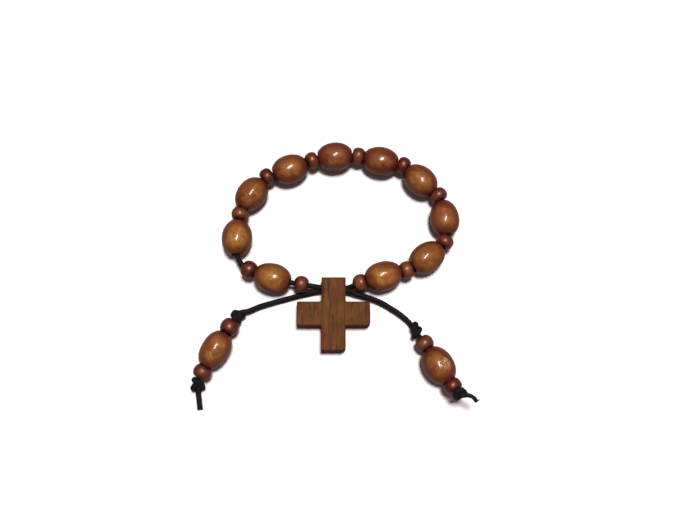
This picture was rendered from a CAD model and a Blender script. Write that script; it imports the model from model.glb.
"""Rosary bracelet on a pale table: wooden beads on a knotted cord and a flat wooden cross."""

import logging
import math
from collections.abc import Iterable, Sequence
from dataclasses import dataclass, field
from enum import Enum

import bmesh
import bpy
import numpy as np
from mathutils import Matrix, Vector, noise


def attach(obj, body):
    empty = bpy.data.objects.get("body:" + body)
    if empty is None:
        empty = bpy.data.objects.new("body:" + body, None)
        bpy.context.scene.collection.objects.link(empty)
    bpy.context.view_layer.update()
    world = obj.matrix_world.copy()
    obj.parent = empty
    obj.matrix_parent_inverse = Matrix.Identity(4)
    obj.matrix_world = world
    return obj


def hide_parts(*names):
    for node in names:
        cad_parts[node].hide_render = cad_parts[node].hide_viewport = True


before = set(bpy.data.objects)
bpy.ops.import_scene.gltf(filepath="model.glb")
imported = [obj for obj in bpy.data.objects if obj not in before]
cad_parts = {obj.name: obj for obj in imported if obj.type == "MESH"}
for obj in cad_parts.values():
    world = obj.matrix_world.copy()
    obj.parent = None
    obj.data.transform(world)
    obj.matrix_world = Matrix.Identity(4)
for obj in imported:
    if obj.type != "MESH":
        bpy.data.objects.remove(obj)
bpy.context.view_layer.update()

log = logging.getLogger("rosary")

MM = 0.001
UP = Vector((0.0, 0.0, 1.0))

Color = tuple[float, float, float, float]
Spot = tuple[float, float, float]
Curve = list[tuple[float, float]]
Object = bpy.types.Object
Socket = bpy.types.NodeSocket
BMesh = bmesh.types.BMesh

WELD = 0.0005
LEFT_TAIL = ("left_tail_outer_round_bead", "left_tail_oval_bead", "left_tail_inner_round_bead")
RIGHT_TAIL = ("right_tail_inner_round_bead", "right_tail_oval_bead", "right_tail_outer_round_bead")


def heading(turn: float, pitch: float) -> Vector:
    """Direction of a heading and a pitch.

    Args:
        turn: heading in degrees from +X towards +Y.
        pitch: pitch in degrees above the table.

    Returns:
        The unit vector.
    """
    a, b = math.radians(turn), math.radians(pitch)
    return Vector((math.cos(b) * math.cos(a), math.cos(b) * math.sin(a), math.sin(b)))


def placed(name: str, data: bpy.types.ID) -> Object:
    """Puts a mesh, light or camera in the scene as an object."""
    obj = bpy.data.objects.new(name, data)
    bpy.context.scene.collection.objects.link(obj)
    return obj


def object_from(bm: BMesh, name: str) -> Object:
    """Puts a bmesh in the scene as an object.

    Args:
        bm: the finished bmesh, which is freed.
        name: name of the new object and its mesh.

    Returns:
        The object, at the origin.
    """
    mesh = bpy.data.meshes.new(name)
    bm.to_mesh(mesh)
    bm.free()
    return placed(name, mesh)


def piece_from(bm: BMesh, name: str, *nodes: str) -> Object:
    """Turns a bmesh in millimetres into a smooth piece that replaces CAD nodes.

    Args:
        bm: the finished bmesh, which is freed.
        name: name of the new object.
        nodes: CAD nodes that the piece stands for.

    Returns:
        The object, at the origin, riding on the root body.
    """
    bmesh.ops.transform(bm, matrix=Matrix.Scale(MM, 4), verts=bm.verts)
    obj = object_from(bm, name)
    obj.data.shade_smooth()
    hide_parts(*nodes)
    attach(obj, "root")
    return obj


@dataclass(frozen=True)
class Seat:
    """Place of a bead on the cord, in millimetres."""

    centre: Vector
    axis: Vector

    def matrix(self) -> Matrix:
        """Frame with Z along the bead's hole, X as far up as it goes and Y level."""
        level = UP.cross(self.axis).normalized()
        up = self.axis.cross(level)
        turned = Matrix((up, level, self.axis)).transposed().to_4x4()
        return Matrix.Translation(self.centre) @ turned

    def facing(self, along: Vector) -> "Seat":
        """The same seat with its axis on the side of a direction."""
        return Seat(self.centre, self.axis if self.axis.dot(along) > 0 else -self.axis)


class BeadKind(Enum):
    """The two kinds of bead."""

    OVAL = "oval"
    ROUND = "round"


def seat_of(node: str, kind: BeadKind) -> Seat:
    """Finds where a CAD bead sits and which way its hole runs.

    Args:
        node: name of the CAD node.
        kind: an oval bead is longest along its hole, a round one shortest.

    Returns:
        The bead's seat.
    """
    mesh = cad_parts[node].data
    points = np.empty(len(mesh.vertices) * 3)
    mesh.vertices.foreach_get("co", points)
    points = points.reshape(-1, 3) / MM
    mesh.calc_loop_triangles()
    corners = np.empty(len(mesh.loop_triangles) * 3, dtype=np.int32)
    mesh.loop_triangles.foreach_get("vertices", corners)
    tri = points[corners.reshape(-1, 3)]
    area = np.linalg.norm(np.cross(tri[:, 1] - tri[:, 0], tri[:, 2] - tri[:, 0]), axis=1)
    spots = tri.mean(axis=1)
    centre = (spots * area[:, None]).sum(axis=0) / area.sum()
    away = spots - centre
    _, axes = np.linalg.eigh((away * area[:, None]).T @ away)
    axis = axes[:, 2] if kind is BeadKind.OVAL else axes[:, 0]
    return Seat(Vector(centre), Vector(axis).normalized())


class Shader:
    """Builds the node tree of one material or node group."""

    def __init__(self, tree: bpy.types.NodeTree) -> None:
        """Keeps the tree that the nodes go in."""
        self.tree = tree

    def node(self, kind: str, **settings: object) -> bpy.types.Node:
        """Adds a node.

        Args:
            kind: the node's type name.
            settings: attributes to set on it.

        Returns:
            The node.
        """
        made = self.tree.nodes.new(kind)
        for key, value in settings.items():
            setattr(made, key, value)
        return made

    def feed(self, socket: Socket, value: object) -> None:
        """Links a socket to a value, or sets the value on it."""
        if isinstance(value, Socket):
            self.tree.links.new(value, socket)
        else:
            socket.default_value = value

    def feeds(self, node: bpy.types.Node, values: dict[str, object]) -> None:
        """Feeds several inputs of a node by their names."""
        for key, value in values.items():
            self.feed(node.inputs[key], value)

    def group(self, tree: bpy.types.NodeTree, **values: object) -> bpy.types.Node:
        """Adds a node group, feeds its inputs by their names and returns it."""
        made = self.node("ShaderNodeGroup", node_tree=tree)
        self.feeds(made, values)
        return made

    def math(self, operation: str, *values: object, clamp: bool = False) -> Socket:
        """Adds a Math node and returns its output."""
        made = self.node("ShaderNodeMath", operation=operation, use_clamp=clamp)
        for socket, value in zip(made.inputs, values):
            self.feed(socket, value)
        return made.outputs[0]

    def times(self, first: object, second: object, clamp: bool = False) -> Socket:
        """Multiplies two values and returns the product."""
        return self.math("MULTIPLY", first, second, clamp=clamp)

    def ramp(
        self, value: object, low: float, high: float, to_low: float = 0.0, to_high: float = 1.0,
    ) -> Socket:
        """Maps a range of a value smoothly to another and returns the result."""
        made = self.node("ShaderNodeMapRange", interpolation_type="SMOOTHSTEP")
        for socket, item in zip(made.inputs, (value, low, high, to_low, to_high)):
            self.feed(socket, item)
        return made.outputs[0]

    def mix(self, share: object, first: object, second: object) -> Socket:
        """Mixes two colours by a share and returns the colour."""
        made = self.node("ShaderNodeMix", data_type="RGBA", clamp_factor=True)
        for index, value in ((0, share), (6, first), (7, second)):
            self.feed(made.inputs[index], value)
        return made.outputs[2]

    def stretch(
        self, place: object, scale: Spot, shift: Spot = (0, 0, 0), turn: Spot = (0, 0, 0),
    ) -> Socket:
        """Scales, turns and shifts a place for a texture and returns the vector."""
        made = self.node("ShaderNodeMapping", vector_type="POINT")
        self.feeds(made, {"Vector": place, "Scale": scale, "Location": shift, "Rotation": turn})
        return made.outputs[0]

    def noise(
        self, place: object, scale: float, detail: float = 3.0, rough: float = 0.5,
        seed: object = 0.0, warp: float = 0.0,
    ) -> Socket:
        """Adds four-dimensional noise and returns its value.

        Args:
            place: where the noise is read.
            scale: how many features there are in a unit.
            detail: how many finer layers it has.
            rough: how strong the finer layers are.
            seed: fourth coordinate, which tells one piece of wood from the next.
            warp: how far the noise bends itself.

        Returns:
            The value socket.
        """
        made = self.node("ShaderNodeTexNoise", noise_dimensions="4D")
        self.feeds(made, {
            "Vector": place, "W": seed, "Scale": scale, "Detail": detail, "Roughness": rough,
            "Distortion": warp,
        })
        return made.outputs[0]

    def attribute(self, name: str, output: str = "Fac") -> Socket:
        """Reads an attribute of the mesh."""
        return self.node("ShaderNodeAttribute", attribute_name=name).outputs[output]

    def bump(self, height: object, strength: float, distance: float) -> Socket:
        """Adds a bump of a height in metres and returns the normal."""
        made = self.node("ShaderNodeBump")
        self.feeds(made, {"Strength": strength, "Distance": distance, "Height": height})
        return made.outputs[0]


def group_named(
    name: str, inputs: dict[str, str], outputs: dict[str, str],
) -> tuple[bpy.types.NodeTree, Shader, bpy.types.Node, bpy.types.Node]:
    """Starts a shader node group.

    Args:
        name: name of the group.
        inputs: kind of each input socket.
        outputs: kind of each output socket.

    Returns:
        The group, a builder for it, and its input and output nodes.
    """
    tree = bpy.data.node_groups.new(name, "ShaderNodeTree")
    for in_out, sockets in (("INPUT", inputs), ("OUTPUT", outputs)):
        for key, kind in sockets.items():
            tree.interface.new_socket(name=key, in_out=in_out, socket_type=f"NodeSocket{kind}")
    shader = Shader(tree)
    return tree, shader, shader.node("NodeGroupInput"), shader.node("NodeGroupOutput")


def wood_grain_group() -> bpy.types.NodeTree:
    """Builds the wood grain that beads and cross share.

    Returns:
        A group that gives a colour, a pore mask and a height from a place along the grain.
    """
    tree, s, given, result = group_named(
        "wood_grain",
        {
            "Place": "Vector", "Seed": "Float", "Light": "Color", "Middle": "Color",
            "Dark": "Color", "Streaks": "Float",
        },
        {"Color": "Color", "Pores": "Float", "Height": "Float"},
    )
    place, seed, light, middle, dark, streaks = given.outputs[:6]
    clouds = s.noise(s.stretch(place, (1, 1, 0.55)), 0.2, 3.0, 0.55, seed, 0.6)
    bands = s.noise(s.stretch(place, (1, 1, 0.12)), 0.9, 3.0, 0.6, seed, 0.8)
    fibres = s.noise(s.stretch(place, (1, 1, 0.06)), 4.5, 2.0, 0.6, seed)
    pores = s.noise(s.stretch(place, (1, 1, 0.4)), 3.2, 2.0, 0.6, seed)
    color = s.mix(s.ramp(clouds, 0.36, 0.62), middle, light)
    color = s.mix(s.times(s.ramp(bands, 0.42, 0.68), streaks), color, dark)
    color = s.mix(s.times(s.ramp(fibres, 0.35, 0.7), s.times(streaks, 0.3)), color, dark)
    pore = s.ramp(pores, 0.62, 0.74)
    height = s.math("SUBTRACT", fibres, s.times(pore, 0.8))
    s.feeds(result, {"Color": color, "Pores": pore, "Height": height})
    return tree


def handling_group() -> bpy.types.NodeTree:
    """Builds the faint smudges and dust that handling leaves.

    Returns:
        A group that gives a mask from a place.
    """
    tree, s, given, result = group_named(
        "handling", {"Place": "Vector", "Seed": "Float"}, {"Smudge": "Float"},
    )
    place, seed = given.outputs[:2]
    wide = s.noise(place, 0.35, 4.0, 0.6, seed, 0.4)
    small = s.noise(place, 3.0, 2.0, 0.5, seed)
    smudge = s.times(s.ramp(wide, 0.4, 0.7), s.ramp(small, 0.3, 0.7), clamp=True)
    s.feeds(result, {"Smudge": smudge})
    return tree


@dataclass
class Finishes:
    """The node groups that several finishes share."""

    grain: bpy.types.NodeTree = field(default_factory=wood_grain_group)
    handling: bpy.types.NodeTree = field(default_factory=handling_group)


def new_material(name: str) -> tuple[bpy.types.Material, Shader, bpy.types.Node]:
    """Starts a material.

    Args:
        name: name of the material.

    Returns:
        The material, a builder for its nodes, and its Principled BSDF.
    """
    material = bpy.data.materials.new(name)
    material.use_nodes = True
    shader = Shader(material.node_tree)
    return material, shader, material.node_tree.nodes["Principled BSDF"]


@dataclass(frozen=True)
class VarnishedWood:
    """Stained bead wood under a coat of varnish."""

    name: str
    light: Color
    middle: Color
    dark: Color
    end: Color
    gold: Color
    rim: Color
    gold_share: float
    rim_share: float
    streaks: float
    end_start: float
    end_share: float
    roughness: float
    glow: float
    glow_tint: Color
    coat: float
    coat_roughness: float
    half_length: float
    scuffed: Color = (0.42, 0.235, 0.105, 1.0)
    gold_reach: float = 0.32
    pore_share: float = 0.55
    tone_hue: float = -0.008
    tone_value: float = -0.16
    smudged: float = 0.15
    relief: float = 0.35
    relief_depth: float = 0.00008

    def material(self, shared: Finishes) -> bpy.types.Material:
        """Builds the material.

        Args:
            shared: the node groups of all finishes.

        Returns:
            The material, which reads the attributes place, seed, tone and scar.
        """
        material, s, bsdf = new_material(self.name)
        place = s.attribute("place", "Vector")
        seed, tone, scar = (s.attribute(name) for name in ("seed", "tone", "scar"))
        grain = s.group(
            shared.grain, Place=place, Seed=seed, Light=self.light, Middle=self.middle,
            Dark=self.dark, Streaks=self.streaks,
        )
        parts = s.node("ShaderNodeSeparateXYZ")
        s.feed(parts.inputs[0], place)
        # The stain is darker towards both ends of the hole, with a ragged border.
        to_end = s.math("DIVIDE", s.math("ABSOLUTE", parts.outputs[2]), self.half_length)
        uneven = s.times(s.noise(place, 0.4, 2.0, 0.5, seed), 0.5)
        end = s.ramp(s.math("ADD", to_end, s.math("SUBTRACT", uneven, 0.25)), self.end_start, 1.05)
        # Where the bead faces the viewer the wood glows golden in flecks and patches.
        facing = s.node("ShaderNodeLayerWeight").outputs["Facing"]
        flecks = s.ramp(s.noise(place, 2.1, 3.0, 0.75, seed), 0.42, 0.62, 0.25)
        elsewhere = s.math("ADD", seed, 31.0)
        patches = s.ramp(s.noise(place, 0.3, 2.0, 0.5, elsewhere, 0.8), 0.4, 0.6, 0.1)
        golden = s.times(s.ramp(facing, 0.0, self.gold_reach, self.gold_share, 0.0), flecks)
        color = s.mix(s.times(golden, patches), grain.outputs["Color"], self.gold)
        # Ends, pores, the rim and the rubbed scar lie over it in this order.
        color = s.mix(s.times(end, self.end_share), color, self.end)
        color = s.mix(s.times(grain.outputs["Pores"], self.pore_share), color, self.dark)
        color = s.mix(s.ramp(facing, 0.15, 0.75, 0.0, self.rim_share), color, self.rim)
        scuffs = s.ramp(s.noise(place, 1.6, 3.0, 0.7, 5.0), 0.4, 0.6, 0.15, 0.9)
        color = s.mix(s.times(scar, scuffs), color, self.scuffed)
        shade = s.node("ShaderNodeHueSaturation")
        s.feeds(shade, {
            "Hue": s.math("ADD", 0.5, s.times(tone, self.tone_hue)),
            "Value": s.math("ADD", 1.0, s.times(tone, self.tone_value)),
            "Color": color,
        })
        smudge = s.group(shared.handling, Place=place, Seed=seed).outputs[0]
        s.feeds(bsdf, {
            "Base Color": shade.outputs[0],
            "Roughness": s.math("ADD", self.roughness, s.times(smudge, self.smudged)),
            "Specular IOR Level": self.glow,
            "Specular Tint": self.glow_tint,
            "Coat Weight": self.coat,
            "Coat Roughness": self.coat_roughness,
            "Coat IOR": 1.5,
            "Normal": s.bump(grain.outputs["Height"], self.relief, self.relief_depth),
        })
        return material


@dataclass(frozen=True)
class BareWood:
    """Oiled, matte board wood with its grain along Y."""

    name: str = "cross_wood"
    light: Color = (0.135, 0.054, 0.0125, 1.0)
    middle: Color = (0.09, 0.0335, 0.0088, 1.0)
    dark: Color = (0.032, 0.0105, 0.004, 1.0)
    red: Color = (0.1, 0.026, 0.01, 1.0)
    edge: Color = (0.028, 0.01, 0.006, 1.0)
    seed: float = 3.7
    streaks: float = 0.85
    grain_turn: float = 4.0
    pore_share: float = 0.7
    edge_share: float = 0.7
    roughness: float = 0.68
    smudged: float = 0.18
    gloss: float = 0.1
    relief: float = 0.6
    relief_depth: float = 0.00016

    def material(self, shared: Finishes) -> bpy.types.Material:
        """Builds the material.

        Args:
            shared: the node groups of all finishes.

        Returns:
            The material, which reads Object coordinates and the attribute edge.
        """
        material, s, bsdf = new_material(self.name)
        where = s.node("ShaderNodeTexCoord").outputs["Object"]
        turn = (math.radians(90), 0, math.radians(self.grain_turn))
        # The shared grain runs along Z, which this turn lays along the board's upright bar.
        place = s.stretch(where, (1 / MM, 1 / MM, 1 / MM), turn=turn)
        grain = s.group(
            shared.grain, Place=place, Seed=self.seed, Light=self.light, Middle=self.middle,
            Dark=self.dark, Streaks=self.streaks,
        )
        rosy = s.noise(s.stretch(place, (1, 1, 0.3), (3, 1, 5)), 0.22, 2.0, 0.5, 9.0, 0.5)
        color = s.mix(s.ramp(rosy, 0.45, 0.68, 0.0, 0.75), grain.outputs["Color"], self.red)
        color = s.mix(s.times(grain.outputs["Pores"], self.pore_share), color, self.dark)
        ragged = s.ramp(s.noise(place, 0.8, 3.0, 0.6, 2.0), 0.25, 0.6, 0.55)
        edge = s.times(s.attribute("edge"), ragged, clamp=True)
        color = s.mix(s.times(edge, self.edge_share), color, self.edge)
        polish = s.times(s.group(shared.handling, Place=place).outputs[0], self.smudged)
        s.feeds(bsdf, {
            "Base Color": color,
            "Roughness": s.math("SUBTRACT", self.roughness, polish),
            "Specular IOR Level": self.gloss,
            "Normal": s.bump(grain.outputs["Height"], self.relief, self.relief_depth),
        })
        return material


@dataclass(frozen=True)
class WaxedCord:
    """Black waxed braided cord with a pale core at its cut ends."""

    name: str = "cord"
    black: Color = (0.006, 0.006, 0.0075, 1.0)
    worn: Color = (0.014, 0.014, 0.018, 1.0)
    core: Color = (0.42, 0.4, 0.38, 1.0)
    sheen_tint: Color = (0.72, 0.8, 1.0, 1.0)
    strands: int = 8
    pitch: float = 5.0
    roughness: float = 0.48
    gloss: float = 0.1
    relief: float = 0.7
    relief_depth: float = 0.00009

    def material(self, shared: Finishes) -> bpy.types.Material:
        """Builds the material.

        Args:
            shared: the node groups of all finishes.

        Returns:
            The material, which reads the cord's UV map and the attribute core.
        """
        material, s, bsdf = new_material(self.name)
        uv = s.node("ShaderNodeUVMap", uv_map="cord_way").outputs[0]
        parts = s.node("ShaderNodeSeparateXYZ")
        s.feed(parts.inputs[0], uv)
        around, along = parts.outputs[0], parts.outputs[1]
        turns = s.times(around, float(self.strands))
        climb = s.math("DIVIDE", along, self.pitch / self.strands)
        # Two sets of waves wind around the cord against each other.
        braid = s.math("MAXIMUM", *(
            s.math("ABSOLUTE", s.math("SINE", s.times(s.math(way, turns, climb), math.pi)))
            for way in ("ADD", "SUBTRACT")
        ))
        fibre = s.noise(s.stretch(uv, (36, 0.9, 1)), 1.0, 3.0, 0.6)
        fuzz = s.noise(s.stretch(uv, (9, 2.2, 1)), 1.0, 3.0, 0.6, 4.0)
        rubbed = s.times(s.ramp(fibre, 0.45, 0.75), s.ramp(fuzz, 0.35, 0.7), clamp=True)
        bared = s.times(s.attribute("core"), s.ramp(fuzz, 0.25, 0.55, 0.55), clamp=True)
        height = s.math("ADD", s.times(braid, 0.7), s.times(fibre, 0.5))
        s.feeds(bsdf, {
            "Base Color": s.mix(bared, s.mix(rubbed, self.black, self.worn), self.core),
            "Roughness": s.math("ADD", self.roughness, s.times(fuzz, 0.24)),
            "Specular IOR Level": self.gloss,
            "Sheen Weight": 0.02,
            "Sheen Roughness": 0.4,
            "Sheen Tint": self.sheen_tint,
            "Normal": s.bump(height, self.relief, self.relief_depth),
        })
        return material


@dataclass(frozen=True)
class BeadForm:
    """Sizes of one kind of bead, in millimetres."""

    kind: BeadKind
    length: float
    width: float
    hole: float
    end_r: float
    lip: float
    fullness: float
    steps: int = 64
    curve_steps: int = 40
    least_step: float = 0.03

    def outer(self, finer: int) -> Curve:
        """Radius and height of the outer curve, from the lower end to the upper."""
        half, power = self.length / 2, self.fullness
        tip = half / (1 - (2 * self.end_r / self.width) ** power) ** (1 / power)
        start = math.atan2(2 * self.end_r / self.width, half / tip)
        count = self.curve_steps * finer
        angles = [start + (math.pi - 2 * start) * i / count for i in range(count + 1)]
        points = []
        for a in angles:
            full = (abs(math.sin(a)) ** power + abs(math.cos(a)) ** power) ** (1 / power)
            points.append((self.width / 2 * math.sin(a) / full, -tip * math.cos(a) / full))
        return points

    def profile(self, finer: int = 1) -> Curve:
        """Closed profile of the bead: outer curve, rolled lips and the wall of the hole.

        Args:
            finer: how many times finer than usual the outer curve is.

        Returns:
            Radius and height of its points.
        """
        outer = self.outer(finer)
        bore, lip = self.hole / 2, self.lip
        top = outer[-1][1]
        roll = [
            (bore + lip - lip * math.sin(a), top - lip + lip * math.cos(a))
            for a in (math.radians(18 * i) for i in range(6))
        ]
        upper = [p for p in roll if p[0] < outer[-1][0] - self.least_step]
        lower = [(r, -z) for r, z in reversed(upper)]
        return lower + outer + upper


@dataclass(frozen=True)
class BeadLook:
    """What tells one bead from the next."""

    node: str
    tone: float = 0.0
    plump: float = 1.0
    stretch: float = 1.0
    lean: float = 0.0
    aside: float = 0.0
    along: float = 0.0
    scar: bool = False


@dataclass
class Bead:
    """One turned bead on the cord."""

    form: BeadForm
    look: BeadLook
    seed: float
    dent: float = 0.012
    scar_middle: Spot = (4.5, 1.8, 1.2)
    scar_high: float = 3.0
    scar_wide: float = 1.6
    scar_long: float = 2.1

    def build(self, material: bpy.types.Material) -> Object:
        """Turns the bead and dresses it.

        Args:
            material: its varnished wood.

        Returns:
            The bead's object.
        """
        finer = 3 if self.look.scar else 1
        bm = bmesh.new()
        ring = [bm.verts.new((r, 0.0, z)) for r, z in self.form.profile(finer)]
        edges = [bm.edges.new((a, b)) for a, b in zip(ring, ring[1:] + ring[:1])]
        bmesh.ops.spin(
            bm, geom=ring + edges, cent=(0, 0, 0), axis=(0, 0, 1), angle=math.tau,
            steps=self.form.steps * finer, use_merge=True, use_duplicate=False,
        )
        bmesh.ops.remove_doubles(bm, verts=bm.verts, dist=WELD)
        bmesh.ops.recalc_face_normals(bm, faces=bm.faces)
        place = bm.verts.layers.float_vector.new("place")
        tone = bm.verts.layers.float.new("tone")
        seed = bm.verts.layers.float.new("seed")
        scar = bm.verts.layers.float.new("scar")
        half = self.form.length / 2
        for v in bm.verts:
            v[place], v[tone], v[seed] = v.co, self.look.tone, self.seed
            share = v.co.z / half
            v.co.z = v.co.z * self.look.stretch + self.look.lean * (1 - share * share) ** 2
            wall = max(0.0, 1 - share * share)
            v.co.y *= 1 + (self.look.plump - 1) * wall
            # Shallow dents outside the lips keep the bead from being perfectly round.
            if math.hypot(v.co.x, v.co.y) > self.form.end_r:
                dip = noise.noise(v.co * 0.35 + Vector((self.seed, 0, 7))) * 0.5 - 0.3
                v.co.xy *= 1 + self.dent * dip * wall
            if self.look.scar:
                v[scar], depth = self.scar_at(v.co)
                v.co -= v.co.normalized() * depth
        bmesh.ops.translate(bm, vec=(0, self.look.aside, self.look.along), verts=bm.verts)
        seat = seat_of(self.look.node, self.form.kind).facing(Vector((1, 0.3, 0)))
        bmesh.ops.transform(bm, matrix=seat.matrix(), verts=bm.verts)
        obj = piece_from(bm, f"{self.look.node}_wood", self.look.node)
        obj.data.materials.append(material)
        faces = len(obj.data.polygons)
        log.info("%s: %s bead, %d faces", self.look.node, self.form.kind.value, faces)
        return obj

    def scar_at(self, spot: Vector) -> tuple[float, float]:
        """Works out the scarred patch at one spot of the bead.

        Args:
            spot: the place in the bead's frame, in millimetres.

        Returns:
            How much of the patch covers the spot, and how deep it is there in millimetres.
        """
        off = spot - Vector(self.scar_middle)
        away = math.hypot(off.y / self.scar_wide, off.z / self.scar_long, off.x / self.scar_high)
        share = max(0.0, min(1.0, (1.15 - away + 0.35 * noise.noise(spot * 1.1)) / 0.5))
        across = math.exp(-(((off.y + 0.15 * off.z + 0.9) / 0.2) ** 2))
        groove = across * math.exp(-((off.z / 1.3) ** 2))
        coarse = noise.noise(Vector((spot.x, spot.y * 2.4, spot.z * 0.9)))
        wrinkles = coarse + 0.5 * noise.noise(spot * 3.6)
        return share, share * (0.04 + 0.3 * groove + 0.3 * wrinkles)


@dataclass
class BeadSet:
    """All the wooden beads."""

    oval: BeadForm = BeadForm(BeadKind.OVAL, 12.66, 10.0, 3.0, 2.15, 0.3, 2.15)
    round: BeadForm = BeadForm(BeadKind.ROUND, 4.24, 6.3, 2.4, 2.15, 0.2, 2.15)
    narrow: BeadForm = BeadForm(BeadKind.ROUND, 4.9, 5.9, 2.4, 1.5, 0.2, 2.1)
    seed_step: float = 7.3
    oval_finish: VarnishedWood = VarnishedWood(
        "oval_wood", light=(0.195, 0.06, 0.015, 1), middle=(0.12, 0.028, 0.009, 1),
        dark=(0.05, 0.01, 0.005, 1), end=(0.085, 0.013, 0.006, 1), gold=(0.3, 0.134, 0.034, 1),
        rim=(0.055, 0.0085, 0.005, 1), gold_share=0.98, rim_share=0.95, streaks=0.16,
        end_start=0.3, end_share=0.9, roughness=0.36, glow=0.25, glow_tint=(1.0, 0.7, 0.45, 1),
        coat=0.4, coat_roughness=0.12, half_length=6.3,
    )
    round_finish: VarnishedWood = VarnishedWood(
        "round_wood", light=(0.12, 0.027, 0.013, 1), middle=(0.08, 0.015, 0.008, 1),
        dark=(0.03, 0.005, 0.0035, 1), end=(0.028, 0.0045, 0.003, 1), gold=(0.22, 0.068, 0.035, 1),
        rim=(0.026, 0.004, 0.003, 1), gold_share=0.5, rim_share=0.95, streaks=0.2,
        end_start=0.32, end_share=0.95, roughness=0.36, glow=0.65, glow_tint=(1.0, 0.56, 0.36, 1),
        coat=0.15, coat_roughness=0.22, half_length=2.12,
    )
    ovals: tuple[BeadLook, ...] = (
        BeadLook("loop_oval_bead_1", tone=-0.7, plump=1.04, lean=0.2, aside=-0.05),
        BeadLook("loop_oval_bead_2", tone=-0.95, plump=1.08, aside=-0.26, along=-0.4),
        BeadLook("loop_oval_bead_3", tone=0.15, plump=1.06, lean=0.3, aside=-0.05),
        BeadLook("loop_oval_bead_4", tone=0.75, plump=1.07, lean=-0.2, aside=-0.15),
        BeadLook("loop_oval_bead_5", tone=1.1, plump=1.065, aside=-0.2),
        BeadLook("loop_oval_bead_6", tone=1.3, plump=1.06, lean=0.15, aside=-0.45),
        BeadLook("loop_oval_bead_7", tone=-0.25, plump=1.06, lean=0.25, aside=-0.45, along=-0.4),
        BeadLook("loop_oval_bead_8", tone=0.55, plump=1.04, lean=-0.35, aside=0.24, along=0.25),
        BeadLook("loop_oval_bead_9", tone=-0.5, plump=1.05, lean=-0.2, aside=0.12),
        BeadLook("loop_oval_bead_10", tone=-0.75, plump=1.04, lean=-0.2, aside=0.26),
        BeadLook("left_tail_oval_bead", tone=-0.45, plump=0.96, lean=0.2, aside=0.2),
        BeadLook("right_tail_oval_bead", tone=0.9, plump=1.05, aside=-0.15, scar=True),
    )
    narrow_rounds: tuple[BeadLook, ...] = (BeadLook("loop_round_bead_1", tone=-1.0),)
    rounds: tuple[BeadLook, ...] = (
        BeadLook("loop_round_bead_2", tone=0.75, stretch=1.1, aside=0.2, along=-0.2),
        BeadLook("loop_round_bead_3", tone=-1.3, aside=-0.45),
        BeadLook("loop_round_bead_4", tone=1.3, aside=0.45),
        BeadLook("loop_round_bead_5", tone=0.45, along=0.2),
        BeadLook("loop_round_bead_6", tone=-0.35),
        BeadLook("loop_round_bead_7", tone=1.2, aside=0.2, along=-0.3),
        BeadLook("loop_round_bead_8", tone=0.3, aside=0.3, along=-0.5),
        BeadLook("loop_round_bead_9", tone=0.2),
        BeadLook("loop_round_bead_10", tone=-1.3),
        BeadLook("loop_round_bead_11", tone=-1.35, stretch=1.05, aside=0.2, along=0.35),
        BeadLook("left_tail_inner_round_bead", tone=1.4, stretch=1.18, plump=1.02, along=-0.36),
        BeadLook("left_tail_outer_round_bead", tone=0.35),
        BeadLook("right_tail_inner_round_bead", tone=-1.1, stretch=1.06, along=0.12),
        BeadLook("right_tail_outer_round_bead", tone=2.3, along=-0.25),
    )

    def build(self, shared: Finishes) -> list[Object]:
        """Builds every bead.

        Args:
            shared: the node groups of all finishes.

        Returns:
            The beads' objects.
        """
        made = []
        round_wood = self.round_finish.material(shared)
        for form, material, looks in (
            (self.oval, self.oval_finish.material(shared), self.ovals),
            (self.round, round_wood, self.rounds),
            (self.narrow, round_wood, self.narrow_rounds),
        ):
            for look in looks:
                made.append(Bead(form, look, self.seed_step * (len(made) + 1)).build(material))
        return made


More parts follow.
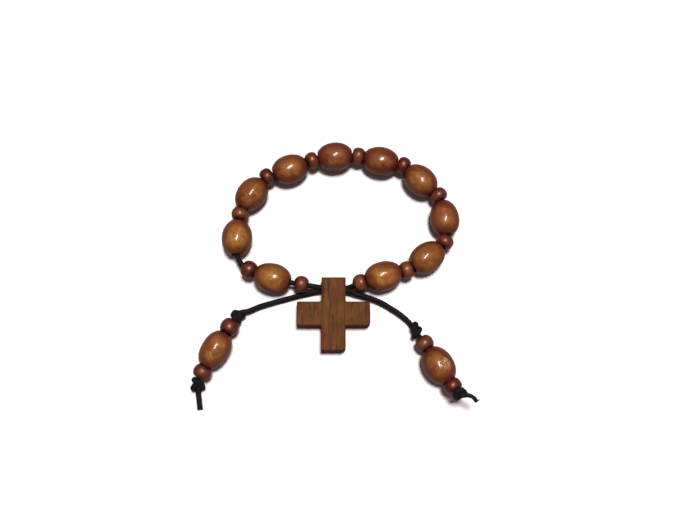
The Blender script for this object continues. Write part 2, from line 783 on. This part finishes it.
@dataclass
class Cross:
    """The flat cross, in millimetres: two crossed bars with a bore through the upper arm."""

    centre: Spot = (0.5, -15.9, 2.7)
    width: float = 25.4
    height: float = 25.8
    arm: float = 8.5
    thickness: float = 5.4
    edge: float = 0.34
    worn: float = 0.95
    bore_d: float = 4.05
    bore_y: float = -6.75
    mouth: float = 0.3
    flat_seam: float = 2.0
    eased: float = 0.75
    side_eased: float = 0.9
    side_share: float = 0.15
    sharp: float = 25.0
    creased: float = 40.0

    def body(self) -> BMesh:
        """Pulls four arms from a middle block and wears two corners.

        Returns:
            The body about the origin.
        """
        bm = bmesh.new()
        bmesh.ops.create_cube(bm, size=1.0)
        bmesh.ops.scale(bm, vec=(self.arm, self.arm, self.thickness), verts=bm.verts)
        for way, length in (
            (Vector((1, 0, 0)), self.width),
            (Vector((-1, 0, 0)), self.width),
            (Vector((0, 1, 0)), self.height),
            (Vector((0, -1, 0)), self.height),
        ):
            face = max(
                bm.faces,
                key=lambda f: f.normal.dot(way) * (f.calc_center_median().length < self.arm),
            )
            pulled = bmesh.ops.extrude_face_region(bm, geom=[face])["geom"]
            moved = [g for g in pulled if isinstance(g, bmesh.types.BMVert)]
            bmesh.ops.translate(bm, vec=way * ((length - self.arm) / 2), verts=moved)
            bmesh.ops.delete(bm, geom=[face], context="FACES_ONLY")
            bm.normal_update()
        for x, y in ((self.width / 2, -self.arm / 2), (self.arm / 2, -self.height / 2)):
            corner = Vector((x - self.worn * 0.5, y + self.worn * 0.5, 0))
            near = [v for v in bm.verts if (v.co.xy - Vector((x, y))).length < self.worn]
            sides = {f for v in near for f in v.link_faces}
            rims = {e for f in sides for e in f.edges} | {v for f in sides for v in f.verts}
            bmesh.ops.bisect_plane(
                bm, geom=list(sides | rims), plane_co=corner, plane_no=(1, -1, 0), clear_outer=True,
            )
            bmesh.ops.holes_fill(bm, edges=[e for e in bm.edges if e.is_boundary], sides=8)
        bmesh.ops.recalc_face_normals(bm, faces=bm.faces)
        return bm

    def edged(self, bm: BMesh) -> None:
        """Dissolves the seams of the faces, marks what lies near an edge and rounds the edges.

        Args:
            bm: the body, which is changed.
        """
        seam = math.radians(self.flat_seam)
        bmesh.ops.dissolve_limit(bm, angle_limit=seam, verts=bm.verts, edges=bm.edges)
        layer = bm.verts.layers.float.new("edge")
        for v in bm.verts:
            v[layer] = 1.0
        for face in list(bm.faces):
            wide = abs(face.normal.z) > 0.9
            if wide or face.calc_area() > self.thickness * self.arm * 0.5:
                eased = self.eased if wide else self.side_eased
                bmesh.ops.inset_region(bm, faces=[face], thickness=eased, use_even_offset=True)
                for v in face.verts:
                    v[layer] = 0.0 if wide else self.side_share
        limit = math.radians(self.sharp)
        edges = [e for e in bm.edges if len(e.link_faces) == 2 and e.calc_face_angle() > limit]
        bmesh.ops.bevel(
            bm, geom=edges, offset=self.edge, segments=3, profile=0.5, affect="EDGES",
            material=-1, clamp_overlap=True,
        )

    def cutter(self) -> Object:
        """Turns the shape of the bore with its flared mouths.

        Returns:
            The object that is cut out of the cross.
        """
        reach = self.arm / 2
        r, m = self.bore_d / 2, self.mouth
        side = [
            (reach + 1.0, r + m + 0.35), (reach, r + m), (reach - 0.5 * m, r + 0.35 * m),
            (reach - 1.6 * m, r), (0.0, r),
        ]
        outline = [(-x, y) for x, y in side] + [(x, y) for x, y in reversed(side[:-1])]
        bm = bmesh.new()
        verts = [bm.verts.new((x, y, 0)) for x, y in outline]
        edges = [bm.edges.new(pair) for pair in zip(verts, verts[1:])]
        bmesh.ops.spin(
            bm, geom=verts + edges, cent=(0, 0, 0), axis=(1, 0, 0), angle=math.tau, steps=56,
            use_merge=True,
        )
        bmesh.ops.remove_doubles(bm, verts=bm.verts, dist=WELD)
        bmesh.ops.holes_fill(bm, edges=[e for e in bm.edges if e.is_boundary], sides=100)
        bmesh.ops.recalc_face_normals(bm, faces=bm.faces)
        x, _, z = self.centre
        bmesh.ops.translate(bm, vec=(x, self.bore_y, z), verts=bm.verts)
        return object_from(bm, "bore_cutter")

    def build(self, shared: Finishes) -> Object:
        """Builds the cross, bores it and dresses it.

        Args:
            shared: the node groups of all finishes.

        Returns:
            The cross's object.
        """
        bm = self.body()
        self.edged(bm)
        bmesh.ops.translate(bm, vec=self.centre, verts=bm.verts)
        blank, tool = object_from(bm, "cross_blank"), self.cutter()
        bore = blank.modifiers.new("bore", "BOOLEAN")
        bore.operation, bore.solver, bore.object = "DIFFERENCE", "EXACT", tool
        depsgraph = bpy.context.evaluated_depsgraph_get()
        bored = bpy.data.meshes.new_from_object(blank.evaluated_get(depsgraph))
        for spare in (blank, tool):
            bpy.data.objects.remove(spare)
        bm = bmesh.new()
        bm.from_mesh(bored)
        obj = piece_from(bm, "cross_board", "cross")
        obj.data.set_sharp_from_angle(angle=math.radians(self.creased))
        obj.data.materials.clear()
        obj.data.materials.append(BareWood().material(shared))
        log.info("cross: %d faces", len(obj.data.polygons))
        return obj


@dataclass(frozen=True)
class KnotSeat:
    """Place, heading and roll of one overhand knot, in millimetres and degrees."""

    centre: Spot
    turn: float
    pitch: float
    roll: float
    fat: float = 1.46


@dataclass(frozen=True)
class CordPoint:
    """A point of the cord: its place, the CAD cord's width there and the drawn width."""

    place: Vector
    width: float
    drawn: float


@dataclass
class Cord:
    """The one cord of the bracelet: its way through beads, cross and knots, in millimetres."""

    width: float = 1.8
    squeezed: float = 1.296
    sides: int = 24
    step: float = 0.3
    knot_step: float = 0.14
    worn_stub: float = 1.4
    swell: float = 1.03
    ribs: int = 8
    rib_depth: float = 0.025
    rib_pitch: float = 16.0
    gap: float = 0.012
    oval_held: float = 0.8 * 12.6
    round_held: float = 0.7 * 4.1
    finish: WaxedCord = WaxedCord()
    knot_half: tuple[Spot, ...] = (
        (0, 0.95, 0), (-0.7, 0.95, 0.55), (-1.3, 0.4, 1.1), (-1.5, -0.6, 0.95), (-1.25, -1.25, 0),
        (-0.65, -1.2, -0.65), (0.05, -0.7, -0.7), (0.7, -0.25, -0.35), (1.3, 0, 0), (1.95, 0, 0),
    )
    left_stub: tuple[Spot, ...] = ((-44.373, -47.995, 1.112), (-44.724, -45.131, 1.725))
    right_stub: tuple[Spot, ...] = ((45.1, -44.3, 11.3), (46.4, -45.1, 11.35), (47.1, -46.0, 10.6))
    left_outer_knot: KnotSeat = KnotSeat((-44.845, -40.069, 3.564), 84, 29, 173)
    left_inner_knot: KnotSeat = KnotSeat((-33.0, -16.286, 3.314), 63, -20, 15)
    right_inner_knot: KnotSeat = KnotSeat((28.838, -21.482, 2.732), -61, 22, 245, 1.32)
    right_outer_knot: KnotSeat = KnotSeat((41.886, -43.437, 8.684), -68, 74, 185)
    left_route: tuple[Spot, ...] = (
        (-28.9, -14.35, 2.1), (-26, -13.0, 1.8), (-21.1, -11.4, 1.5), (-16.2, -10, 1.4),
        (-9.7, -8.3, 1.5),
    )
    right_route: tuple[Spot, ...] = (
        (9.1, -8.6, 2.6), (12.9, -9.65, 2.2), (16.6, -11.1, 1.9), (20.6, -13.4, 1.7),
        (24.2, -15.9, 1.65),
    )
    strand_angles: tuple[float, ...] = (60, 78, 97, 116, 135)
    strand_middle: Spot = (0.5, -6.75, 2.7)
    strand_reach: float = 4.95
    strand_r: float = 0.975
    knot_margin: int = 15
    turn_apart: float = 1.9
    turn_near: float = 2.4
    bead_near: float = 6.0
    bead_end: float = 2.12
    past_end: float = 2.3
    table_gap: float = 0.06
    tip_rings: int = 4
    left_tip: float = 1.4
    right_tip: float = 1.6
    cap_rim: float = 0.16
    cap_dome: float = 0.05
    cap_core: float = 0.25
    fray_seed: int = 9
    pale_side: Spot = (0.7, 0.6, 0.3)
    pale_lift: Spot = (0.6, 0.5, 0.6)

    def knot(self, seat: KnotSeat) -> list[CordPoint]:
        """The cord's way through an overhand knot.

        Args:
            seat: the knot's place, heading and roll.

        Returns:
            Points of the squeezed cord.
        """
        x = heading(seat.turn, seat.pitch)
        y0 = UP.cross(x).normalized()
        z0 = x.cross(y0)
        roll = math.radians(seat.roll)
        y = y0 * math.cos(roll) + z0 * math.sin(roll)
        z = x.cross(y)
        first = [(-a, b, -c) for a, b, c in reversed(self.knot_half[1:])]
        centre, drawn = Vector(seat.centre), self.squeezed * seat.fat
        return [
            CordPoint(centre + self.squeezed * (a * x + b * y + c * z), self.squeezed, drawn)
            for a, b, c in first + list(self.knot_half)
        ]

    def strand(self, side: int) -> list[CordPoint]:
        """One strand through the cross; side is 1 for the upper and -1 for the lower."""
        last = len(self.strand_angles) - 1
        return self.bare([
            Vector(self.strand_middle) + Vector((
                (2 * i / last - 1) * self.strand_reach,
                side * self.strand_r * math.cos(math.radians(a)),
                side * self.strand_r * math.sin(math.radians(a)),
            ))
            for i, a in enumerate(self.strand_angles)
        ])

    def bare(self, points: Iterable[Vector | Spot]) -> list[CordPoint]:
        """Points of bare cord at its full width."""
        return [CordPoint(Vector(p), self.width, self.width * self.swell) for p in points]

    def through(self, names: Sequence[str]) -> list[CordPoint]:
        """The cord through a row of beads: two points on each bead's axis.

        Args:
            names: the beads' nodes, in the order of the cord.

        Returns:
            Points of the full cord.
        """
        kinds = [BeadKind.OVAL if "oval" in n else BeadKind.ROUND for n in names]
        seats = [seat_of(n, k) for n, k in zip(names, kinds)]
        points = []
        for i, (seat, kind) in enumerate(zip(seats, kinds)):
            along = seats[min(i + 1, len(seats) - 1)].centre - seats[max(i - 1, 0)].centre
            held = self.oval_held if kind is BeadKind.OVAL else self.round_held
            axis = seat.facing(along).axis
            points += self.bare(seat.centre + axis * held * s for s in (-0.5, 0.5))
        return points

    def route(self) -> list[CordPoint]:
        """All points of the cord, from the left stub's tip to the right stub's tip."""
        kinds = ("oval", "round")
        loop = [f"loop_{kind}_bead_{i}" for i in range(11, 0, -1) for kind in kinds][1:]
        return (
            self.bare(self.left_stub) + self.knot(self.left_outer_knot) + self.through(LEFT_TAIL)
            + self.knot(self.left_inner_knot)[:-2] + self.bare(self.left_route) + self.strand(-1)
            + self.through(loop) + self.strand(1) + self.bare(self.right_route)
            + self.knot(self.right_inner_knot) + self.through(RIGHT_TAIL)
            + self.knot(self.right_outer_knot)
            + [CordPoint(Vector(p), self.width, self.worn_stub) for p in self.right_stub]
        )

    def line(self) -> tuple[np.ndarray, np.ndarray, np.ndarray, np.ndarray]:
        """Smooths the route as the CAD cord is smoothed.

        Returns:
            Places, CAD widths, drawn widths and lengths along the cord of its rings.
        """
        points = np.array([[*p.place, p.width, p.drawn] for p in self.route()])
        chords = np.linalg.norm(np.diff(points[:, :3], axis=0), axis=1)
        steps = np.diff(points, axis=0) / chords[:, None]
        slopes = np.empty_like(points)
        slopes[0], slopes[-1] = steps[0], steps[-1]
        before, after = chords[:-1, None], chords[1:, None]
        slopes[1:-1] = (steps[:-1] * after + steps[1:] * before) / (before + after)
        rings = []
        for i, chord in enumerate(chords):
            tight = min(points[i, 3], points[i + 1, 3]) < self.width - 0.01
            count = math.ceil(chord / (self.knot_step if tight else self.step))
            for t in np.arange(count) / count:
                rings.append(
                    (2 * t**3 - 3 * t**2 + 1) * points[i]
                    + (t**3 - 2 * t**2 + t) * chord * slopes[i]
                    + (3 * t**2 - 2 * t**3) * points[i + 1]
                    + (t**3 - t**2) * chord * slopes[i + 1]
                )
        rings.append(points[-1])
        rings = np.array(rings)
        lengths = np.r_[0, np.cumsum(np.linalg.norm(np.diff(rings[:, :3], axis=0), axis=1))]
        return rings[:, :3], rings[:, 3], rings[:, 4], lengths

    def frames(self, line: np.ndarray) -> tuple[np.ndarray, np.ndarray, np.ndarray]:
        """Carries a frame along the cord without twisting it.

        Args:
            line: the rings' places.

        Returns:
            Tangents, normals and binormals.
        """
        tangents = np.gradient(line, axis=0)
        tangents /= np.linalg.norm(tangents, axis=1)[:, None]
        normals = np.empty_like(tangents)
        normal = np.array([0.0, 0.0, 1.0])
        for i, t in enumerate(tangents):
            normal = normal - t * (t @ normal)
            normal /= np.linalg.norm(normal)
            normals[i] = normal
        return tangents, normals, np.cross(tangents, normals)

    def build(self, shared: Finishes) -> Object:
        """Draws the cord's tube ring by ring, tightens its knots and dresses it.

        Args:
            shared: the node groups of all finishes.

        Returns:
            The cord's object.
        """
        line, widths, drawn, lengths = self.line()
        tangents, normals, across = self.frames(line)
        thick = np.clip((self.width - widths) / (self.width - self.squeezed), 0, 1)
        angles = math.tau * np.arange(self.sides) / self.sides
        ribs = np.cos(self.ribs * (angles[None, :] + math.tau * lengths[:, None] / self.rib_pitch))
        spread = drawn[:, None] / 2 * (1 - self.rib_depth * (1 - ribs))
        self.shape_tips(spread, angles, lengths)
        cosines, sines = np.cos(angles)[None, :, None], np.sin(angles)[None, :, None]
        arms = (normals[:, None, :] * cosines + across[:, None, :] * sines) * spread[:, :, None]
        arms = self.tightened(line, lengths, arms, thick)
        rings = line[:, None, :] + arms
        self.slant_tips(rings, tangents, angles)
        obj = self.tube(rings, lengths)
        obj.data.materials.append(self.finish.material(shared))
        faces = len(obj.data.polygons)
        log.info("cord: %.0f mm long, %d rings, %d faces", lengths[-1], len(line), faces)
        return obj

    def shape_tips(self, spread: np.ndarray, angles: np.ndarray, lengths: np.ndarray) -> None:
        """Swells the left tip a little and squeezes the right one into two lobes.

        Args:
            spread: the radius at each ring and side, which is changed.
            angles: the angle of each side.
            lengths: length along the cord of each ring.
        """
        left = np.clip(1 - lengths / self.left_tip, 0, 1)[:, None]
        spread *= 1 + 0.1 * left
        right = np.clip(1 - (lengths[-1] - lengths) / self.right_tip, 0, 1)[:, None]
        lobes = np.abs(np.cos(angles))[None, :]
        spread *= 1 + right * (0.34 * lobes - 0.12)

    def slant_tips(self, rings: np.ndarray, tangents: np.ndarray, angles: np.ndarray) -> None:
        """Slants the left cut, draws the right tip's lobes out and cuts its upper side back.

        Args:
            rings: places of the rings' vertices, which are changed.
            tangents: the cord's direction at each ring.
            angles: the angle of each side.
        """
        for i in range(self.tip_rings):
            fade = 1 - i / self.tip_rings
            rings[i] += tangents[0] * (0.3 * fade * np.cos(angles))[:, None]
            push = 0.26 * fade * np.abs(np.cos(angles)) + 0.1 * fade * np.sin(3 * angles + 1)
            tip = rings[-1 - i]
            lifted = tip[:, 2] - tip[:, 2].mean()
            tip += tangents[-1] * (push - (0.22 + 0.6 * lifted) * fade)[:, None]

    def tightened(
        self, line: np.ndarray, lengths: np.ndarray, arms: np.ndarray, thick: np.ndarray,
    ) -> np.ndarray:
        """Presses a knot's turns flat against each other and off the beads and the table.

        Args:
            line: the rings' centres.
            lengths: length along the cord of each ring.
            arms: vectors from the centres to the rings' vertices.
            thick: 1 within a knot, 0 outside.

        Returns:
            The shortened vectors.
        """
        seats = [seat_of(node, BeadKind.ROUND) for node in LEFT_TAIL[::2] + RIGHT_TAIL[::2]]
        ends = [(np.array(seat.centre), np.array(seat.axis)) for seat in seats]
        around = np.ones(self.knot_margin)
        near_knot = np.where(np.convolve(thick > 0.02, around, "same") > 0)[0]
        for i in near_knot:
            shares = np.ones(len(arms[i]))
            apart = np.abs(lengths - lengths[i]) > self.turn_apart
            near = np.linalg.norm(line - line[i], axis=1) < self.turn_near
            for j in np.where(apart & near)[0]:
                # Two turns of the knot meet half-way between their centres.
                way = line[j] - line[i]
                gap = np.linalg.norm(way)
                self.press(shares, arms[i] @ way / gap, gap / 2 - self.gap)
            for centre, axis in ends:
                off = line[i] - centre
                past = abs(off @ axis)
                if np.linalg.norm(off) < self.bead_near and past > self.past_end:
                    toward = -(arms[i] @ axis) * np.sign(off @ axis)
                    self.press(shares, toward, past - self.bead_end)
            self.press(shares, -arms[i][:, 2], line[i][2] - self.table_gap)
            arms[i] *= shares[:, None]
        return arms

    @staticmethod
    def press(shares: np.ndarray, reach: np.ndarray, room: float) -> None:
        """Lowers the shares of a ring's arms that reach further than there is room."""
        over = reach > room
        shares[over] = np.minimum(shares[over], room / reach[over])

    def tube(self, rings: np.ndarray, lengths: np.ndarray) -> Object:
        """Pulls a ring of vertices along the cord, closes both ends and frays the right one.

        Args:
            rings: places of every ring's vertices.
            lengths: length along the cord of each ring.

        Returns:
            The cord's object, with a UV map cord_way and an attribute core.
        """
        bm = bmesh.new()
        uv = bm.loops.layers.uv.new("cord_way")
        core = bm.verts.layers.float.new("core")
        last = len(rings) - 1
        bmesh.ops.create_grid(bm, x_segments=last, y_segments=self.sides, size=0.5)
        # A flat grid is bent into the tube, and its long sides are then merged.
        spots = {
            v: (round((v.co.x + 0.5) * last), round((v.co.y + 0.5) * self.sides))
            for v in bm.verts
        }
        for face in bm.faces:
            for loop in face.loops:
                i, k = spots[loop.vert]
                loop[uv].uv = (k / self.sides, lengths[i])
        for v, (i, k) in spots.items():
            v.co = rings[i, k % self.sides]
        bmesh.ops.remove_doubles(bm, verts=bm.verts, dist=0.00001)
        open_edges = [e for e in bm.edges if e.is_boundary]
        caps = bmesh.ops.holes_fill(bm, edges=open_edges, sides=self.sides + 2)["faces"]
        bmesh.ops.recalc_face_normals(bm, faces=bm.faces)
        for cap in caps:
            bmesh.ops.inset_region(
                bm, faces=[cap], thickness=self.cap_rim, depth=self.cap_dome, use_even_offset=True,
            )
            for v in cap.verts:
                v[core] = self.cap_core
            if cap.calc_center_median().x > 0:
                self.fray(bm, cap, core)
        bmesh.ops.triangulate(bm, faces=[f for f in bm.faces if len(f.verts) > 4])
        return piece_from(bm, "cord_braid", "cord")

    def fray(self, bm: BMesh, cap: bmesh.types.BMFace, core: bmesh.types.BMLayerItem) -> None:
        """Pulls pale fibres of uneven length out of a cut end.

        Args:
            bm: the cord's mesh, which is changed.
            cap: the face that closes the end.
            core: the layer that says how pale a vertex is.
        """
        way, middle = cap.normal.copy(), cap.calc_center_median()
        side = Vector(self.pale_side)
        # Without a seed of its own the vector noise below would change with the clock.
        noise.seed_set(self.fray_seed)
        for v in cap.verts:
            v[core] = 1.0 if (v.co - middle).dot(side) > 0 else 0.1
        wedges = bmesh.ops.poke(bm, faces=[cap])["faces"]
        for tuft in bmesh.ops.extrude_discrete_faces(bm, faces=wedges)["faces"]:
            root = tuft.calc_center_median()
            stray = noise.noise_vector(root * 3.1)
            pale = (root - middle).dot(side) > -0.1
            length = 0.15 + 0.4 * abs(stray.x)
            lift = Vector(self.pale_lift if pale else (0, 0, 0))
            bmesh.ops.translate(bm, vec=way * length + lift + stray * 0.3, verts=tuft.verts)
            end = tuft.calc_center_median()
            for v in tuft.verts:
                v.co = end + (v.co - end) * 0.75
                v[core] = 1.0 if pale else 0.15


@dataclass
class Studio:
    """Camera, pale table and soft light, in millimetres."""

    eye: Spot = (4.5, -62.43, 235.51)
    target: Spot = (4.5, 5.1, 0.0)
    focal_px: float = 680.0
    frame_px: float = 690.0
    key_from: Spot = (0.1, 0.12, 0.988)
    key_away: float = 2400.0
    key_size: float = 560.0
    key_watts: float = 84.0
    strip_from: Spot = (0.046, 0.094, 0.994)
    strip_long: float = 240.0
    strip_short: float = 80.0
    strip_turn: float = 63.0
    strip_watts: float = 3.4
    strip_away: float = 600.0
    sky: Color = (1.0, 0.84, 0.82, 1.0)
    sky_strength: float = 0.12
    backdrop: Color = (0.97, 0.98, 1.0, 1.0)
    backdrop_strength: float = 1.0
    table_color: Color = (0.83, 0.74, 0.74, 1.0)
    table_bounce: Color = (0.36, 0.27, 0.25, 1.0)
    table_half: float = 2000.0
    table_sunk: float = 0.03
    middle: Spot = (4, 4, 0)

    def camera(self) -> None:
        """Sets up the camera at the photograph's place."""
        data = bpy.data.cameras.new("camera")
        data.sensor_fit, data.sensor_width = "HORIZONTAL", 36.0
        data.lens = 36.0 * self.focal_px / self.frame_px
        data.clip_start, data.clip_end = 0.01, 20.0
        obj = placed("camera", data)
        look = Vector(self.target) - Vector(self.eye)
        obj.location = Vector(self.eye) * MM
        obj.rotation_euler = look.to_track_quat("-Z", "Y").to_euler()
        bpy.context.scene.camera = obj
        log.info("camera: lens %.2f mm, %.0f mm away", data.lens, look.length)

    def panel(self, name: str, place: Vector, size: tuple[float, float], watts: float) -> Object:
        """Hangs one light over the middle of the table.

        Args:
            name: name of the light.
            place: where it hangs, from the middle of the table.
            size: its length and width.
            watts: its power.

        Returns:
            The light's object.
        """
        data = bpy.data.lights.new(name, "AREA")
        data.shape, data.size, data.size_y = "RECTANGLE", size[0] * MM, size[1] * MM
        data.energy = watts
        obj = placed(name, data)
        obj.location = (Vector(self.middle) + place) * MM
        return obj

    def light(self) -> None:
        """Hangs a key light and a strip that only gloss mirrors, under a faint sky."""
        key_at, key_size = Vector(self.key_from) * self.key_away, (self.key_size, self.key_size)
        key = self.panel("key", key_at, key_size, self.key_watts)
        key.visible_glossy = False
        strip_size = (self.strip_long, self.strip_short)
        strip_at = Vector(self.strip_from) * self.strip_away
        strip = self.panel("strip", strip_at, strip_size, self.strip_watts)
        strip.rotation_euler = (0, 0, math.radians(self.strip_turn))
        strip.visible_diffuse = False
        world = bpy.data.worlds.new("studio")
        world.use_nodes = True
        # The camera sees a white backdrop, the beads mirror and catch a fainter sky.
        s, nodes = Shader(world.node_tree), world.node_tree.nodes
        sky, backdrop = nodes["Background"], s.node("ShaderNodeBackground")
        s.feeds(sky, {"Color": self.sky, "Strength": self.sky_strength})
        s.feeds(backdrop, {"Color": self.backdrop, "Strength": self.backdrop_strength})
        by_camera = s.node("ShaderNodeLightPath").outputs["Is Camera Ray"]
        seen = s.node("ShaderNodeMixShader")
        for socket, value in zip(seen.inputs, (by_camera, sky.outputs[0], backdrop.outputs[0])):
            s.feed(socket, value)
        s.feed(nodes["World Output"].inputs[0], seen.outputs[0])
        bpy.context.scene.world = world
        log.info(
            "light: key %.1f W, strip %.1f W, sky %.2f",
            self.key_watts, self.strip_watts, self.sky_strength,
        )

    def table(self) -> None:
        """Lays the pale table, which gives less light back to the beads than it shows."""
        bm = bmesh.new()
        bmesh.ops.create_grid(bm, x_segments=1, y_segments=1, size=self.table_half * MM)
        bmesh.ops.translate(bm, vec=(0, 0, -self.table_sunk * MM), verts=bm.verts)
        obj = object_from(bm, "table")
        material, s, bsdf = new_material("table_white")
        seen = s.node("ShaderNodeLightPath").outputs["Is Camera Ray"]
        s.feeds(bsdf, {
            "Base Color": s.mix(seen, self.table_bounce, self.table_color),
            "Roughness": 0.7,
            "Specular IOR Level": 0.2,
        })
        obj.data.materials.append(material)

    def build(self) -> None:
        """Sets up camera, light and table."""
        self.camera()
        self.light()
        self.table()
        view = bpy.context.scene.view_settings
        view.view_transform, view.look = "Standard", "None"


def main() -> None:
    """Builds the studio and every piece of the bracelet, and notes both boxes."""
    logging.basicConfig(level=logging.INFO, format="%(name)s: %(message)s")
    Studio().build()
    shared = Finishes()
    Cord().build(shared)
    Cross().build(shared)
    BeadSet().build(shared)


if __name__ == "__main__":
    main()
